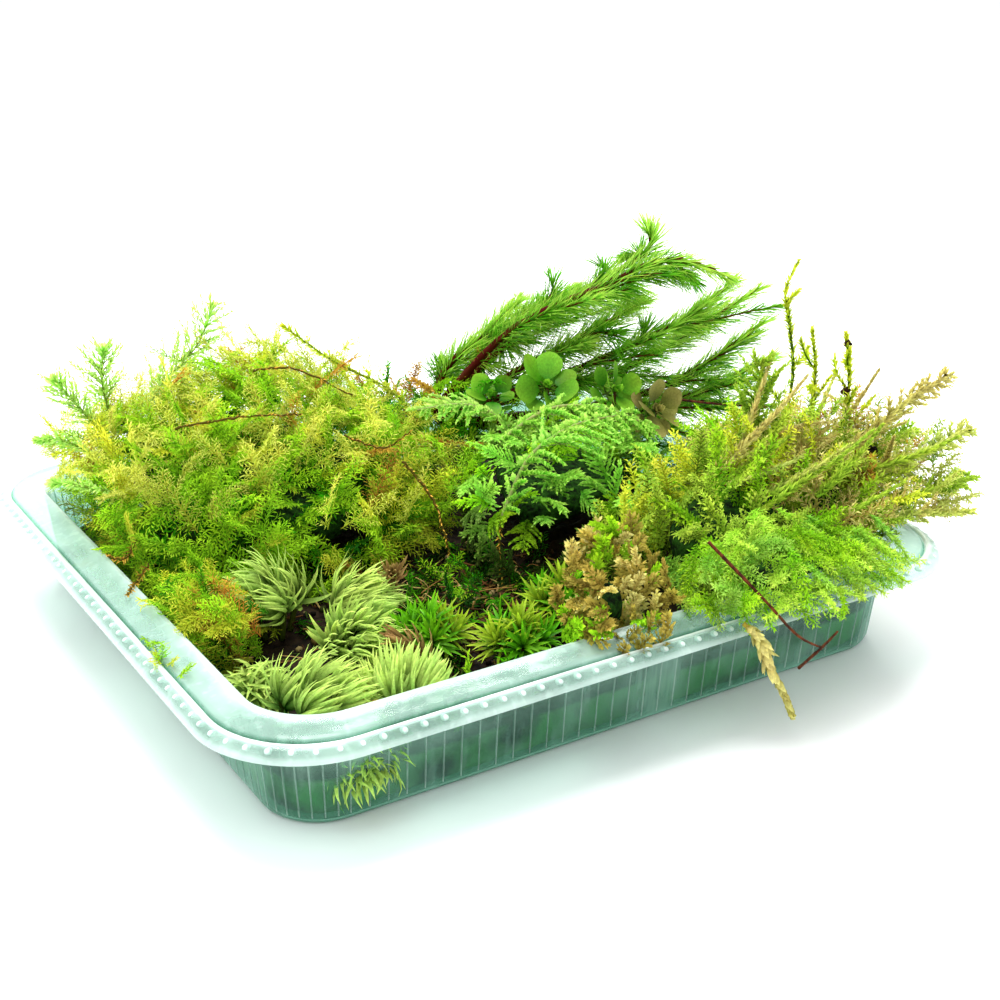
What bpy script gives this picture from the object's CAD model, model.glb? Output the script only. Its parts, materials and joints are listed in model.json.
"""The looks of a clump of mixed mosses on soil in a shallow clear tray.

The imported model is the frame. Every kind of moss is joined leaf mesh, grown from
seeded random numbers over the solid that it replaces. Lengths are in metres, and
MM turns the points that are given in millimetres into metres.
"""
import json
import math

import bmesh
import bpy
import numpy as np
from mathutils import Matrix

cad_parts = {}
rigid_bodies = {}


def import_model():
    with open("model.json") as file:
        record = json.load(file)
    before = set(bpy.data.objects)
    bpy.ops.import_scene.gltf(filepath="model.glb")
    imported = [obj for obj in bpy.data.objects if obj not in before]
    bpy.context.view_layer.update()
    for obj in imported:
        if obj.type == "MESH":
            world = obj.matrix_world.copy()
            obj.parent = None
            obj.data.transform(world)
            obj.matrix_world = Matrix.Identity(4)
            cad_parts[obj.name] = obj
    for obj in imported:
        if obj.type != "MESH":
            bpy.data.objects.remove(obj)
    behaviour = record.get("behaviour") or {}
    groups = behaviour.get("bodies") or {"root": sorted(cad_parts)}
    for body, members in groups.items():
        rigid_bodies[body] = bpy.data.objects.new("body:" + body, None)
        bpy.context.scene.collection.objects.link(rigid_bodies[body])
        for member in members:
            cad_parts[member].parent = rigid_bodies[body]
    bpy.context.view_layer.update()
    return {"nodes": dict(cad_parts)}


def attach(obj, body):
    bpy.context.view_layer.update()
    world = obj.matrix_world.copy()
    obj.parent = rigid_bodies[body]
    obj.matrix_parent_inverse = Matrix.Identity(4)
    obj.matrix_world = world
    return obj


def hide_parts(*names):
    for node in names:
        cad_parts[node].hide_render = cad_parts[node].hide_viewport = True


for leftover in list(bpy.data.objects):
    bpy.data.objects.remove(leftover)
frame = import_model()

MM = 0.001
SEED = 11
GOLDEN_TURN = math.radians(137.5)
UP = np.array((0.0, 0.0, 1.0))

TRAY_LENGTH = 0.160
TRAY_WIDTH = 0.152
TRAY_SHEET = 0.0006
CORNER_RADIUS = 0.020
RIM_TOP = 0.0225
SOIL_TOP = 0.0100
MOUND_PLACE = (-0.010, -0.026)
MOUND_RADIUS = 0.010
MOUND_HEIGHT = 0.0024

RIB_RADIUS = 0.00017
BEAD_SIZE = (0.00085, 0.00070, 0.00050)

CAMERA_PLACE = (-0.151732, -0.260588, 0.143723)
CAMERA_PITCH = math.radians(21.653)
CAMERA_AZIMUTH = math.radians(-32.301)
CAMERA_LENS = 54.654


# Small helpers for arrays of points and directions

def unit(vectors):
    return vectors / np.maximum(np.linalg.norm(vectors, axis=-1, keepdims=True), 1e-9)


def square_to(face, along):
    """The part of face that stands at right angles to along, as unit vectors."""
    return unit(face - (face * along).sum(-1, keepdims=True) * along)


def linear(code):
    """A colour from its six-digit sRGB code, as linear light."""
    parts = np.array([int(code[k:k + 2], 16) for k in (0, 2, 4)]) / 255
    return np.where(parts <= 0.04045, parts / 12.92, ((parts + 0.055) / 1.055) ** 2.4)


def smooth_path(points, count):
    """An open Catmull-Rom curve through points in millimetres, as metres."""
    points = np.array(points, float)
    padded = np.vstack([points[:1], points, points[-1:]])
    position = np.linspace(0, len(points) - 1, count)
    index = np.minimum(position.astype(int), len(points) - 2)
    t = (position - index)[:, None]
    a, b, c, d = (padded[index + k] for k in range(4))
    curve = 2 * b + (c - a) * t + (2 * a - 5 * b + 4 * c - d) * t ** 2
    curve += (3 * b - 3 * c + d - a) * t ** 3
    return curve / 2 * MM


def tangents_of(path):
    return unit(np.gradient(path, axis=0))


class Growth:
    """The points, triangles and tints of one joined piece while it grows."""

    def __init__(self):
        self.points, self.triangles, self.tints = [], [], []
        self.count = 0

    def add(self, points, triangles, tints):
        """points is (copies, n, 3), triangles index one copy, tints match the points."""
        copies, size = points.shape[:2]
        shifts = self.count + size * np.arange(copies)
        self.points.append(points.reshape(-1, 3))
        self.triangles.append((triangles[None] + shifts[:, None, None]).reshape(-1, 3))
        self.tints.append(np.broadcast_to(tints, points.shape).reshape(-1, 3))
        self.count += copies * size

    def build(self, name, material, slot, nodes=(), smooth=True):
        """The piece as an object on the root body, in place of the CAD nodes."""
        points = np.concatenate(self.points)
        triangles = np.concatenate(self.triangles)
        tints = np.clip(np.concatenate(self.tints), 0.0, 1.0)
        mesh = bpy.data.meshes.new(name)
        mesh.vertices.add(len(points))
        mesh.vertices.foreach_set("co", points.astype(np.float32).ravel())
        mesh.loops.add(triangles.size)
        mesh.loops.foreach_set("vertex_index", triangles.astype(np.int32).ravel())
        mesh.polygons.add(len(triangles))
        mesh.polygons.foreach_set("loop_start", np.arange(0, triangles.size, 3, dtype=np.int32))
        mesh.polygons.foreach_set("use_smooth", np.full(len(triangles), smooth))
        layer = mesh.color_attributes.new("tint", "FLOAT_COLOR", "POINT")
        coloured = np.hstack([tints, np.ones((len(tints), 1))])
        layer.data.foreach_set("color", coloured.astype(np.float32).ravel())
        mesh.update(calc_edges=True)
        return finish_piece(bpy.data.objects.new(name, mesh), material, nodes)


def finish_piece(obj, material, nodes):
    obj.data.materials.append(material)
    bpy.context.scene.collection.objects.link(obj)
    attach(obj, "root")
    if nodes:
        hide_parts(*nodes)
    return obj


# Leaves

class LeafShape:
    """A leaf outline: across and along places of its points, with its triangles."""

    def __init__(self, rows=None):
        if rows is None:
            self.across = np.array((0.0, -1.0, 1.0, 0.0))
            self.along = np.array((0.0, 0.42, 0.42, 1.0))
            self.triangles = np.array(((0, 2, 3), (0, 3, 1)))
        else:
            across, along, triangles = [], [], []
            for place, width in rows:
                across += [-width, 0.0, width]
                along += [place] * 3
            for row in range(len(rows) - 1):
                k = 3 * row
                for left in (k, k + 1):
                    triangles += [(left, left + 1, left + 4), (left, left + 4, left + 3)]
            tip, last = 3 * len(rows), 3 * len(rows) - 3
            triangles += [(last, last + 1, tip), (last + 1, last + 2, tip)]
            self.across = np.array(across + [0.0])
            self.along = np.array(along + [1.0])
            self.triangles = np.array(triangles)
        self.edge = np.abs(self.across)


TINY_LEAF = LeafShape()
HAIR = LeafShape(((0.0, 0.7), (0.5, 1.0)))
NEEDLE = LeafShape(((0.0, 0.7), (0.4, 1.0), (0.75, 0.55)))
LANCE = LeafShape(((0.0, 0.55), (0.22, 0.95), (0.50, 1.0), (0.78, 0.60)))
RIBBON = LeafShape(((0.0, 0.60), (0.2, 1.0), (0.4, 0.95), (0.6, 0.72), (0.8, 0.42)))
OVAL = LeafShape(((0.0, 0.10), (0.10, 0.45), (0.24, 0.76), (0.42, 0.97), (0.58, 1.0), (0.74, 0.88),
                  (0.88, 0.60), (0.965, 0.30)))


def leaf_points(shape, base, along, face, length, width, bend, fold):
    """Leaves that curve by bend towards face, with their edges lifted by fold."""
    side = np.cross(along, face)
    bend = np.where(np.abs(bend) < 0.001, 0.001, bend)[:, None]
    angle = bend * shape.along
    forward = length[:, None] * np.sin(angle) / bend
    rise = length[:, None] * (1 - np.cos(angle)) / bend
    lift = (fold * width)[:, None] * shape.edge
    forward = forward - lift * np.sin(angle)
    rise = rise + lift * np.cos(angle)
    points = base[:, None] + along[:, None] * forward[..., None] + face[:, None] * rise[..., None]
    return points + side[:, None] * (width[:, None] * shape.across)[..., None]


def add_leaves(growth, shape, base, along, face, length, width, bend, fold, low, high, rib=0.0):
    """Leaves whose tint runs from low at the base to high at the tip, paler on the rib."""
    points = leaf_points(shape, base, along, face, length, width, bend, fold)
    share = shape.along[None, :, None]
    tints = low[:, None] * (1 - share) + high[:, None] * share
    tints = tints * (1 + rib * (1 - np.minimum(shape.edge, 1.0)))[None, :, None]
    growth.add(points, shape.triangles, tints)


def run_leaves(start, direction, sag, length, side, up, spec, rng):
    """Where leaves sit on one branch: bases, directions, upper faces and progress."""
    count = max(int(length / spec["spacing"]), 2)
    s = (np.arange(count) + 0.5) / count
    base = start + np.outer(s * length, direction) + np.outer(s ** 2 * length, sag)
    tangent = unit(direction + 2 * np.outer(s, sag))
    turn = np.arange(count) * spec["turn"] + rng.normal(0, spec["jitter"], count)
    radial = np.outer(np.cos(turn), side) + np.outer(np.sin(turn), up)
    radial = square_to(radial, tangent)
    angle = spec["angle"] * (1 - 0.3 * s) * rng.uniform(0.8, 1.2, count)
    along = tangent * np.cos(angle)[:, None] + radial * np.sin(angle)[:, None]
    inner = tangent * np.sin(angle)[:, None] - radial * np.cos(angle)[:, None]
    face = square_to(inner * (1 - spec["flatness"]) + up * spec["flatness"], along)
    return base, along, face, s


def stem_cone(start, end, radius):
    """A thin three-sided cone, as points and triangles."""
    along = unit(end - start)
    first = square_to(np.array((0.3, 0.2, 1.0)), along)
    second = np.cross(along, first)
    corners = [start + radius * (math.cos(a) * first + math.sin(a) * second)
               for a in (0.0, 2.1, 4.2)]
    return np.array([*corners, end]), np.array(((0, 1, 3), (1, 2, 3), (2, 0, 3)))


class Template:
    """One frond or shoot along +Y in the XY plane, to be copied many times."""

    def __init__(self, spec, rng):
        self.length = spec["length"]
        parts = []
        stem_sag = np.array((0.0, 0.0, rng.uniform(-0.10, 0.10)))
        stem = np.array((rng.uniform(-0.06, 0.06), 1.0, 0.0))
        parts.append(self.leafy(np.zeros(3), unit(stem), stem_sag, self.length, spec, rng, 0.0))
        for number in range(spec["pairs"] * 2):
            place = 0.08 + 0.86 * (number + rng.uniform(-0.3, 0.3)) / (spec["pairs"] * 2)
            hand = 1 if number % 2 else -1
            reach = spec["branch"] * (1 - place) ** 0.55 * min(1.0, 0.45 + 3 * place)
            reach *= rng.uniform(0.75, 1.1)
            angle = math.radians(62 - 28 * place) * rng.uniform(0.85, 1.15)
            direction = np.array((hand * math.sin(angle), math.cos(angle), rng.uniform(-0.25, 0.3)))
            start = unit(stem) * place * self.length + stem_sag * place ** 2 * self.length
            sag = np.array((0.0, rng.uniform(0.0, 0.25), rng.uniform(-0.35, 0.1)))
            parts.append(self.leafy(start, unit(direction), sag, reach, spec, rng, place))
        self.points = np.concatenate([p for p, _, _, _ in parts])
        sizes = np.cumsum([0] + [len(p) for p, _, _, _ in parts])
        self.triangles = np.concatenate([t + shift for (_, t, _, _), shift in zip(parts, sizes)])
        self.shade = np.concatenate([s for _, _, s, _ in parts])
        self.wood = np.concatenate([w for _, _, _, w in parts])

    @staticmethod
    def leafy(start, direction, sag, length, spec, rng, place):
        """One branch: its cone and its leaves, with a shade that rises to the tip."""
        side = unit(np.cross(direction, UP))
        up = np.cross(side, direction)
        base, along, face, s = run_leaves(start, direction, sag, length, side, up, spec, rng)
        count = len(base)
        size = spec["leaf"] * (1 - 0.35 * s) * rng.uniform(0.75, 1.2, count)
        width = size * spec["slim"]
        bend = rng.normal(spec["bend"], 0.25, count)
        points = leaf_points(TINY_LEAF, base, along, face, size, width, bend, np.full(count, 0.5))
        shifts = 4 * np.arange(count)[:, None, None]
        triangles = (TINY_LEAF.triangles[None] + shifts).reshape(-1, 3)
        shade = 0.25 + 0.35 * place + 0.30 * s[:, None] + 0.10 * TINY_LEAF.along[None]
        cone, sides = stem_cone(start, start + (direction + sag) * length, spec["stem"])
        all_points = np.vstack([points.reshape(-1, 3), cone])
        all_triangles = np.vstack([triangles, sides + 4 * count])
        shades = np.concatenate([shade.ravel(), np.full(4, 0.2)])
        wood = np.concatenate([np.zeros(4 * count), np.ones(4)])
        return all_points, all_triangles, shades, wood

    def copy_to(self, growth, root, stem, face, scale, bend, low, high):
        """Copies to arrays of roots and directions, with a low and a high tint for each."""
        face = square_to(face, stem)
        side = np.cross(stem, face)
        bend = np.where(np.abs(bend) < 0.001, 0.001, bend)[:, None]
        angle = bend * self.points[None, :, 1] / self.length
        y = self.length * np.sin(angle) / bend - self.points[None, :, 2] * np.sin(angle)
        z = self.length * (1 - np.cos(angle)) / bend + self.points[None, :, 2] * np.cos(angle)
        x = np.broadcast_to(self.points[None, :, 0], y.shape)
        local = x[..., None] * side[:, None] + y[..., None] * stem[:, None] + z[..., None] * face[:, None]
        points = root[:, None] + local * scale[:, None, None]
        shade = self.shade[None, :, None]
        tints = low[:, None] * (1 - shade) + high[:, None] * shade
        stem_tint = (0.8 * low + 0.2 * high)[:, None] * STEM_WARMTH
        tints = tints * (1 - self.wood[None, :, None]) + stem_tint * self.wood[None, :, None]
        growth.add(points, self.triangles, tints)


FEATHER = {"length": 17 * MM, "pairs": 9, "branch": 6.5 * MM, "spacing": 0.42 * MM, "leaf": 1.9 * MM,
           "slim": 0.10, "angle": 0.75, "turn": math.pi, "jitter": 0.6, "flatness": 0.4, "bend": -0.3,
           "stem": 0.16 * MM}
LACE = {**FEATHER, "length": 21 * MM, "pairs": 8, "spacing": 0.55 * MM, "leaf": 2.3 * MM, "slim": 0.08}
INNER = {**FEATHER, "pairs": 8, "spacing": 0.60 * MM, "leaf": 2.6 * MM, "slim": 0.13}
TUFTLET = {**FEATHER, "length": 9 * MM, "branch": 3.5 * MM, "pairs": 6, "spacing": 0.50 * MM}
FRINGE = {"length": 16 * MM, "pairs": 9, "branch": 5.0 * MM, "spacing": 0.34 * MM, "leaf": 1.9 * MM,
          "slim": 0.14, "angle": 0.75, "turn": GOLDEN_TURN, "jitter": 0.4, "flatness": 0.3, "bend": -0.3,
          "stem": 0.18 * MM}
STAIR = {"length": 15 * MM, "pairs": 9, "branch": 6.0 * MM, "spacing": 0.25 * MM, "leaf": 1.55 * MM,
         "slim": 0.26, "angle": 0.55, "turn": GOLDEN_TURN, "jitter": 0.2, "flatness": 0.2, "bend": 0.3,
         "stem": 0.22 * MM}
PINNATE = {"length": 19 * MM, "pairs": 10, "branch": 5.5 * MM, "spacing": 0.36 * MM, "leaf": 1.7 * MM,
           "slim": 0.18, "angle": 0.80, "turn": GOLDEN_TURN, "jitter": 0.4, "flatness": 0.3, "bend": -0.3,
           "stem": 0.22 * MM}
COARSE = {"length": 17 * MM, "pairs": 5, "branch": 6.5 * MM, "spacing": 0.34 * MM, "leaf": 2.1 * MM,
          "slim": 0.17, "angle": 0.80, "turn": GOLDEN_TURN, "jitter": 0.5, "flatness": 0.15, "bend": -0.5,
          "stem": 0.22 * MM}
CRUMPLED = {"length": 10 * MM, "pairs": 5, "branch": 4.5 * MM, "spacing": 0.42 * MM, "leaf": 2.7 * MM,
            "slim": 0.30, "angle": 0.9, "turn": GOLDEN_TURN, "jitter": 0.9, "flatness": 0.1, "bend": 0.9,
            "stem": 0.2 * MM}

GOLD_GREEN = (linear("94BC0C"), linear("F4F650"))
LEAF_GREEN = (linear("50A808"), linear("C8FA34"))
DEEP_GREEN = (linear("124A02"), linear("54BC0C"))
SHADE_GREEN = (linear("062002"), linear("226A04"))
RUSTY = (linear("96641A"), linear("E4BC48"))
SPRIG_GREEN = (linear("68BC20"), linear("CCF86C"))
SPRIG_BRIGHT = (linear("98E448"), linear("ECFF9C"))
RIM_GREEN = (linear("80CC20"), linear("E0FA64"))
SHOOT_GOLD = (linear("8CAA28"), linear("F0F48C"))
CROWN_GOLD = (linear("B4D424"), linear("FAFA7C"))
FROND_GREEN = (linear("56BC1A"), linear("CEFC74"))
FROND_PALE = (linear("74CC30"), linear("DEFC88"))
MAT_GREEN = (linear("4E8A08"), linear("D4F054"))
MAT_STRAW = (linear("A8983A"), linear("F2EC94"))
TAN = (linear("5A560C"), linear("D6C45C"))
PALE_LEAF = (linear("1C5802"), linear("D4F27C"))
STAR_LEAF = (linear("0A4802"), linear("70C418"))
STAR_YELLOW = (linear("3A6604"), linear("AECC30"))
DEAD_LEAF = (linear("5A3E1A"), linear("C4A464"))
HAIRCAP_DEEP = (linear("1E6A06"), linear("7CCC28"))
HAIRCAP_LEAF = (linear("4CA80C"), linear("D4FA68"))
ROUND_LEAF = (linear("2E860A"), linear("94D03C"))
OLIVE_LEAF = (linear("70762A"), linear("C4B86C"))
STEM_WARMTH = np.array((1.0, 0.8, 0.9))
STEM_BROWN = linear("4E3016")
STEM_GREEN = linear("4A6A1C")
SOIL_TINTS = ("0E0A06", "1A120A", "2A1C10", "3E2C18", "54421F", "8C7A50", "2A3210")


# Surfaces to grow from

def surface_samples(node, count, rng, keep=None):
    """Points spread evenly over a CAD node, at least as far apart as fits."""
    mesh = frame["nodes"][node].data
    mesh.calc_loop_triangles()
    places = np.empty(len(mesh.vertices) * 3)
    mesh.vertices.foreach_get("co", places)
    corners = np.empty(len(mesh.loop_triangles) * 3, dtype=np.int32)
    mesh.loop_triangles.foreach_get("vertices", corners)
    faces = places.reshape(-1, 3)[corners.reshape(-1, 3)]
    area = np.linalg.norm(np.cross(faces[:, 1] - faces[:, 0], faces[:, 2] - faces[:, 0]), axis=1)
    picked = rng.choice(len(faces), count * 10, p=area / area.sum())
    u, v = rng.random((2, len(picked), 1))
    over = u + v > 1
    u, v = np.where(over, 1 - u, u), np.where(over, 1 - v, v)
    points = faces[picked, 0] * (1 - u - v) + faces[picked, 1] * u + faces[picked, 2] * v
    if keep is not None:
        points = points[keep(points)]
    chosen = [0]
    nearest = np.full(len(points), np.inf)
    for _ in range(min(count, len(points)) - 1):
        nearest = np.minimum(nearest, ((points - points[chosen[-1]]) ** 2).sum(1))
        chosen.append(int(nearest.argmax()))
    return points[chosen]


def mixed_tints(palettes, shares, count, rng):
    """A low and a high tint for each copy, drawn from the palettes by their shares."""
    kind = rng.choice(len(palettes), count, p=np.array(shares) / sum(shares))
    light = rng.uniform(0.75, 1.2, (count, 1))
    low = np.array([low for low, _ in palettes])[kind] * light
    high = np.array([high for _, high in palettes])[kind] * light
    return low, high


def grow_over(node, spec, count, settings, palettes, shares, seed):
    """Copies of a few templates, rooted inside a CAD node, with their tips at its surface."""
    rng = np.random.default_rng(SEED + seed)
    tips = surface_samples(node, count, rng, settings.get("keep"))
    count = len(tips)
    heart = np.array(settings["heart"]) * MM
    outward = unit((tips - heart) * np.array(settings.get("squeeze", (1.0, 1.0, 1.0))))
    sideways = unit(rng.normal(0, 1, (count, 3)))
    lean = np.array(settings.get("lean", (0.0, 0.0, 0.3)))
    stem = unit(outward * settings.get("outward", 1.0) + lean + sideways * settings.get("wander", 0.7))
    face = unit(outward + UP * 0.5 + 0.35 * rng.normal(0, 1, (count, 3)))
    scale = rng.uniform(*settings.get("scale", (0.75, 1.15)), count)
    tips = tips + outward * settings.get("proud", 0.0) * MM
    root = tips - stem * (spec["length"] * scale * settings.get("depth", 0.8))[:, None]
    root[:, 2] = np.maximum(root[:, 2], settings.get("floor", 10.6) * MM)
    bend = rng.normal(settings.get("curl", -0.3), 0.3, count)
    low, high = mixed_tints(palettes, shares, count, rng)
    if "dim" in settings:
        foot, clear = (height * MM for height in settings["dim"])
        light = 0.12 + 0.88 * np.clip((tips[:, 2:] - foot) / (clear - foot), 0.0, 1.0)
        low, high = low * light, high * light
    growth = Growth()
    kinds = [Template(spec, rng) for _ in range(settings.get("kinds", 6))]
    for number, template in enumerate(kinds):
        mine = np.arange(number, count, len(kinds))
        template.copy_to(growth, root[mine], stem[mine], face[mine], scale[mine], bend[mine],
                         low[mine], high[mine])
    return growth


def dark_core(node, name, material, shrink, sink):
    """The shaded inside of a mass: its CAD solid, smoothed and drawn in."""
    source = frame["nodes"][node].data
    bm = bmesh.new()
    bm.from_mesh(source)
    bmesh.ops.remove_doubles(bm, verts=bm.verts, dist=0.0001)
    for _ in range(12):
        bmesh.ops.smooth_vert(bm, verts=bm.verts, factor=0.5, use_axis_x=True, use_axis_y=True,
                              use_axis_z=True)
    bmesh.ops.subdivide_edges(bm, edges=bm.edges, cuts=1, use_grid_fill=True)
    centre = sum((vert.co for vert in bm.verts), bm.verts[:][0].co * 0) / len(bm.verts)
    low = min(vert.co.z for vert in bm.verts)
    for vert in bm.verts:
        vert.co.x = centre.x + (vert.co.x - centre.x) * shrink
        vert.co.y = centre.y + (vert.co.y - centre.y) * shrink
        vert.co.z = low + (vert.co.z - low) * sink
    mesh = bpy.data.meshes.new(name)
    bm.to_mesh(mesh)
    bm.free()
    mesh.shade_smooth()
    return finish_piece(bpy.data.objects.new(name, mesh), material, ())


# Materials

def new_material(name):
    material = bpy.data.materials.new(name)
    material.use_nodes = True
    nodes, links = material.node_tree.nodes, material.node_tree.links
    return material, nodes, links, nodes["Principled BSDF"], nodes["Material Output"]


def noise_node(nodes, links, scale, detail=3.0, stretch=None):
    """A noise texture over the object's own coordinates."""
    place = nodes.new("ShaderNodeTexCoord")
    source = place.outputs["Object"]
    if stretch:
        mapping = nodes.new("ShaderNodeMapping")
        mapping.inputs["Scale"].default_value = stretch
        links.new(source, mapping.inputs["Vector"])
        source = mapping.outputs["Vector"]
    noise = nodes.new("ShaderNodeTexNoise")
    noise.inputs["Scale"].default_value = scale
    noise.inputs["Detail"].default_value = detail
    links.new(source, noise.inputs["Vector"])
    return noise


def ranged(nodes, links, source, low, high, start=0.3, end=0.7):
    """source, mapped from start and end to low and high."""
    node = nodes.new("ShaderNodeMapRange")
    node.inputs["From Min"].default_value = start
    node.inputs["From Max"].default_value = end
    node.inputs["To Min"].default_value = low
    node.inputs["To Max"].default_value = high
    links.new(source, node.inputs["Value"])
    return node.outputs["Result"]


def add_bump(nodes, links, shader, height, strength, distance):
    bump = nodes.new("ShaderNodeBump")
    bump.inputs["Strength"].default_value = strength
    bump.inputs["Distance"].default_value = distance
    links.new(height, bump.inputs["Height"])
    links.new(bump.outputs["Normal"], shader.inputs["Normal"])


def leaf_material(name, roughness, light_through, gloss):
    """Thin leaves: their tint with fine mottling, and light let through from behind."""
    material, nodes, links, shader, output = new_material(name)
    tint = nodes.new("ShaderNodeAttribute")
    tint.attribute_name = "tint"
    patches = noise_node(nodes, links, 160.0)
    cells = noise_node(nodes, links, 2200.0, 2.0)
    mottled = nodes.new("ShaderNodeHueSaturation")
    links.new(ranged(nodes, links, patches.outputs["Fac"], 0.482, 0.512), mottled.inputs["Hue"])
    links.new(ranged(nodes, links, cells.outputs["Fac"], 0.82, 1.18), mottled.inputs["Value"])
    links.new(tint.outputs["Color"], mottled.inputs["Color"])
    links.new(mottled.outputs["Color"], shader.inputs["Base Color"])
    rough = ranged(nodes, links, cells.outputs["Fac"], roughness - 0.12, roughness + 0.12)
    links.new(rough, shader.inputs["Roughness"])
    shader.inputs["Specular IOR Level"].default_value = gloss
    add_bump(nodes, links, shader, cells.outputs["Fac"], 0.35, 0.0001)
    through = nodes.new("ShaderNodeBsdfTranslucent")
    links.new(mottled.outputs["Color"], through.inputs["Color"])
    mixer = nodes.new("ShaderNodeMixShader")
    mixer.inputs["Fac"].default_value = light_through
    links.new(shader.outputs["BSDF"], mixer.inputs[1])
    links.new(through.outputs["BSDF"], mixer.inputs[2])
    links.new(mixer.outputs["Shader"], output.inputs["Surface"])
    return material


def grainy_material(name, dark, light, scale, roughness, bump, patch=None):
    """Soil, bark and shaded moss: two colours in grains, with a rough surface and patches."""
    material, nodes, links, shader, _ = new_material(name)
    grains = noise_node(nodes, links, scale, 6.0)
    ramp = nodes.new("ShaderNodeValToRGB")
    ramp.color_ramp.elements[0].position = 0.38
    ramp.color_ramp.elements[0].color = (*dark, 1.0)
    ramp.color_ramp.elements[1].position = 0.68
    ramp.color_ramp.elements[1].color = (*light, 1.0)
    links.new(grains.outputs["Fac"], ramp.inputs["Fac"])
    colour = ramp.outputs["Color"]
    if patch is not None:
        patches = noise_node(nodes, links, 75.0, 4.0)
        mixed = nodes.new("ShaderNodeMix")
        mixed.data_type = "RGBA"
        height = nodes.new("ShaderNodeSeparateXYZ")
        links.new(patches.inputs["Vector"].links[0].from_socket, height.inputs["Vector"])
        side = ranged(nodes, links, height.outputs["Z"], 0.0, 1.0, 0.0088, 0.0078)
        both = nodes.new("ShaderNodeMath")
        both.operation = "MULTIPLY"
        links.new(ranged(nodes, links, patches.outputs["Fac"], 0.0, 1.0, 0.34, 0.52), both.inputs[0])
        links.new(side, both.inputs[1])
        links.new(both.outputs["Value"], mixed.inputs["Factor"])
        links.new(colour, mixed.inputs["A"])
        mixed.inputs["B"].default_value = (*patch, 1.0)
        colour = mixed.outputs["Result"]
    links.new(colour, shader.inputs["Base Color"])
    rough = ranged(nodes, links, grains.outputs["Fac"], roughness + 0.05, roughness - 0.15)
    links.new(rough, shader.inputs["Roughness"])
    shader.inputs["Specular IOR Level"].default_value = 0.12
    add_bump(nodes, links, shader, grains.outputs["Fac"], 0.8, bump)
    return material


def plastic_material():
    """Thin clear sheet with a faint mint tint, glossy at grazing angles and streaked.

    The tray's tint holds how milky the sheet is in red, and how deep its colour in green.
    """
    material, nodes, links, shader, output = new_material("clear_plastic_sheet")
    pressed = nodes.new("ShaderNodeAttribute")
    pressed.attribute_name = "tint"
    split = nodes.new("ShaderNodeSeparateColor")
    links.new(pressed.outputs["Color"], split.inputs["Color"])
    shader.inputs["Specular IOR Level"].default_value = 0.6
    streaks = noise_node(nodes, links, 520.0, 2.0, (1.0, 1.0, 0.10))
    ripples = noise_node(nodes, links, 110.0, 1.5)
    rough = ranged(nodes, links, streaks.outputs["Fac"], 0.06, 0.22)
    links.new(rough, shader.inputs["Roughness"])
    add_bump(nodes, links, shader, ripples.outputs["Fac"], 0.5, 0.0010)
    clear = nodes.new("ShaderNodeBsdfTransparent")
    for target, faint, strong in ((shader.inputs["Base Color"], "ECF8F4", "84C0A8"),
                                  (clear.inputs["Color"], "F0F9F6", "A0CCBA")):
        depth = nodes.new("ShaderNodeMix")
        depth.data_type = "RGBA"
        depth.inputs["A"].default_value = (*linear(faint), 1.0)
        depth.inputs["B"].default_value = (*linear(strong), 1.0)
        links.new(split.outputs["Green"], depth.inputs["Factor"])
        links.new(depth.outputs["Result"], target)
    facing = nodes.new("ShaderNodeLayerWeight")
    facing.inputs["Blend"].default_value = 0.35
    sheen = ranged(nodes, links, facing.outputs["Facing"], 0.04, 0.50, 0.30, 0.95)
    scuffs = ranged(nodes, links, streaks.outputs["Fac"], 0.0, 0.10, 0.54, 0.70)
    clouds = noise_node(nodes, links, 60.0, 3.0)
    cloudy = ranged(nodes, links, clouds.outputs["Fac"], 0.0, 0.22, 0.45, 0.70)
    total = sheen
    for more in (scuffs, cloudy, split.outputs["Red"]):
        both = nodes.new("ShaderNodeMath")
        both.operation = "ADD"
        both.use_clamp = True
        links.new(total, both.inputs[0])
        links.new(more, both.inputs[1])
        total = both.outputs["Value"]
    mixer = nodes.new("ShaderNodeMixShader")
    links.new(total, mixer.inputs["Fac"])
    links.new(clear.outputs["BSDF"], mixer.inputs[1])
    links.new(shader.outputs["BSDF"], mixer.inputs[2])
    links.new(mixer.outputs["Shader"], output.inputs["Surface"])
    return material


# The tray and the soil

def rim_line(inset, steps, corner_steps):
    """Points round the tray at one inset, with the distance run from the start."""
    half_x = TRAY_LENGTH / 2 - inset
    half_y = TRAY_WIDTH / 2 - inset
    radius = max(CORNER_RADIUS - 0.75 * inset, 0.002)
    places = []
    for quarter, (sign_x, sign_y) in enumerate(((1, 1), (-1, 1), (-1, -1), (1, -1))):
        centre = np.array((sign_x * (half_x - radius), sign_y * (half_y - radius)))
        for step in range(corner_steps):
            angle = math.pi / 2 * (quarter + step / corner_steps)
            places.append(centre + radius * np.array((math.cos(angle), math.sin(angle))))
        angle = math.pi / 2 * (quarter + 1)
        corner_end = centre + radius * np.array((math.cos(angle), math.sin(angle)))
        following = ((-1, 1), (-1, -1), (1, -1), (1, 1))[quarter]
        next_centre = np.array((following[0] * (half_x - radius), following[1] * (half_y - radius)))
        next_start = next_centre + radius * np.array((math.cos(angle), math.sin(angle)))
        for step in range(steps):
            places.append(corner_end + (next_start - corner_end) * step / steps)
    return np.array(places)


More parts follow.
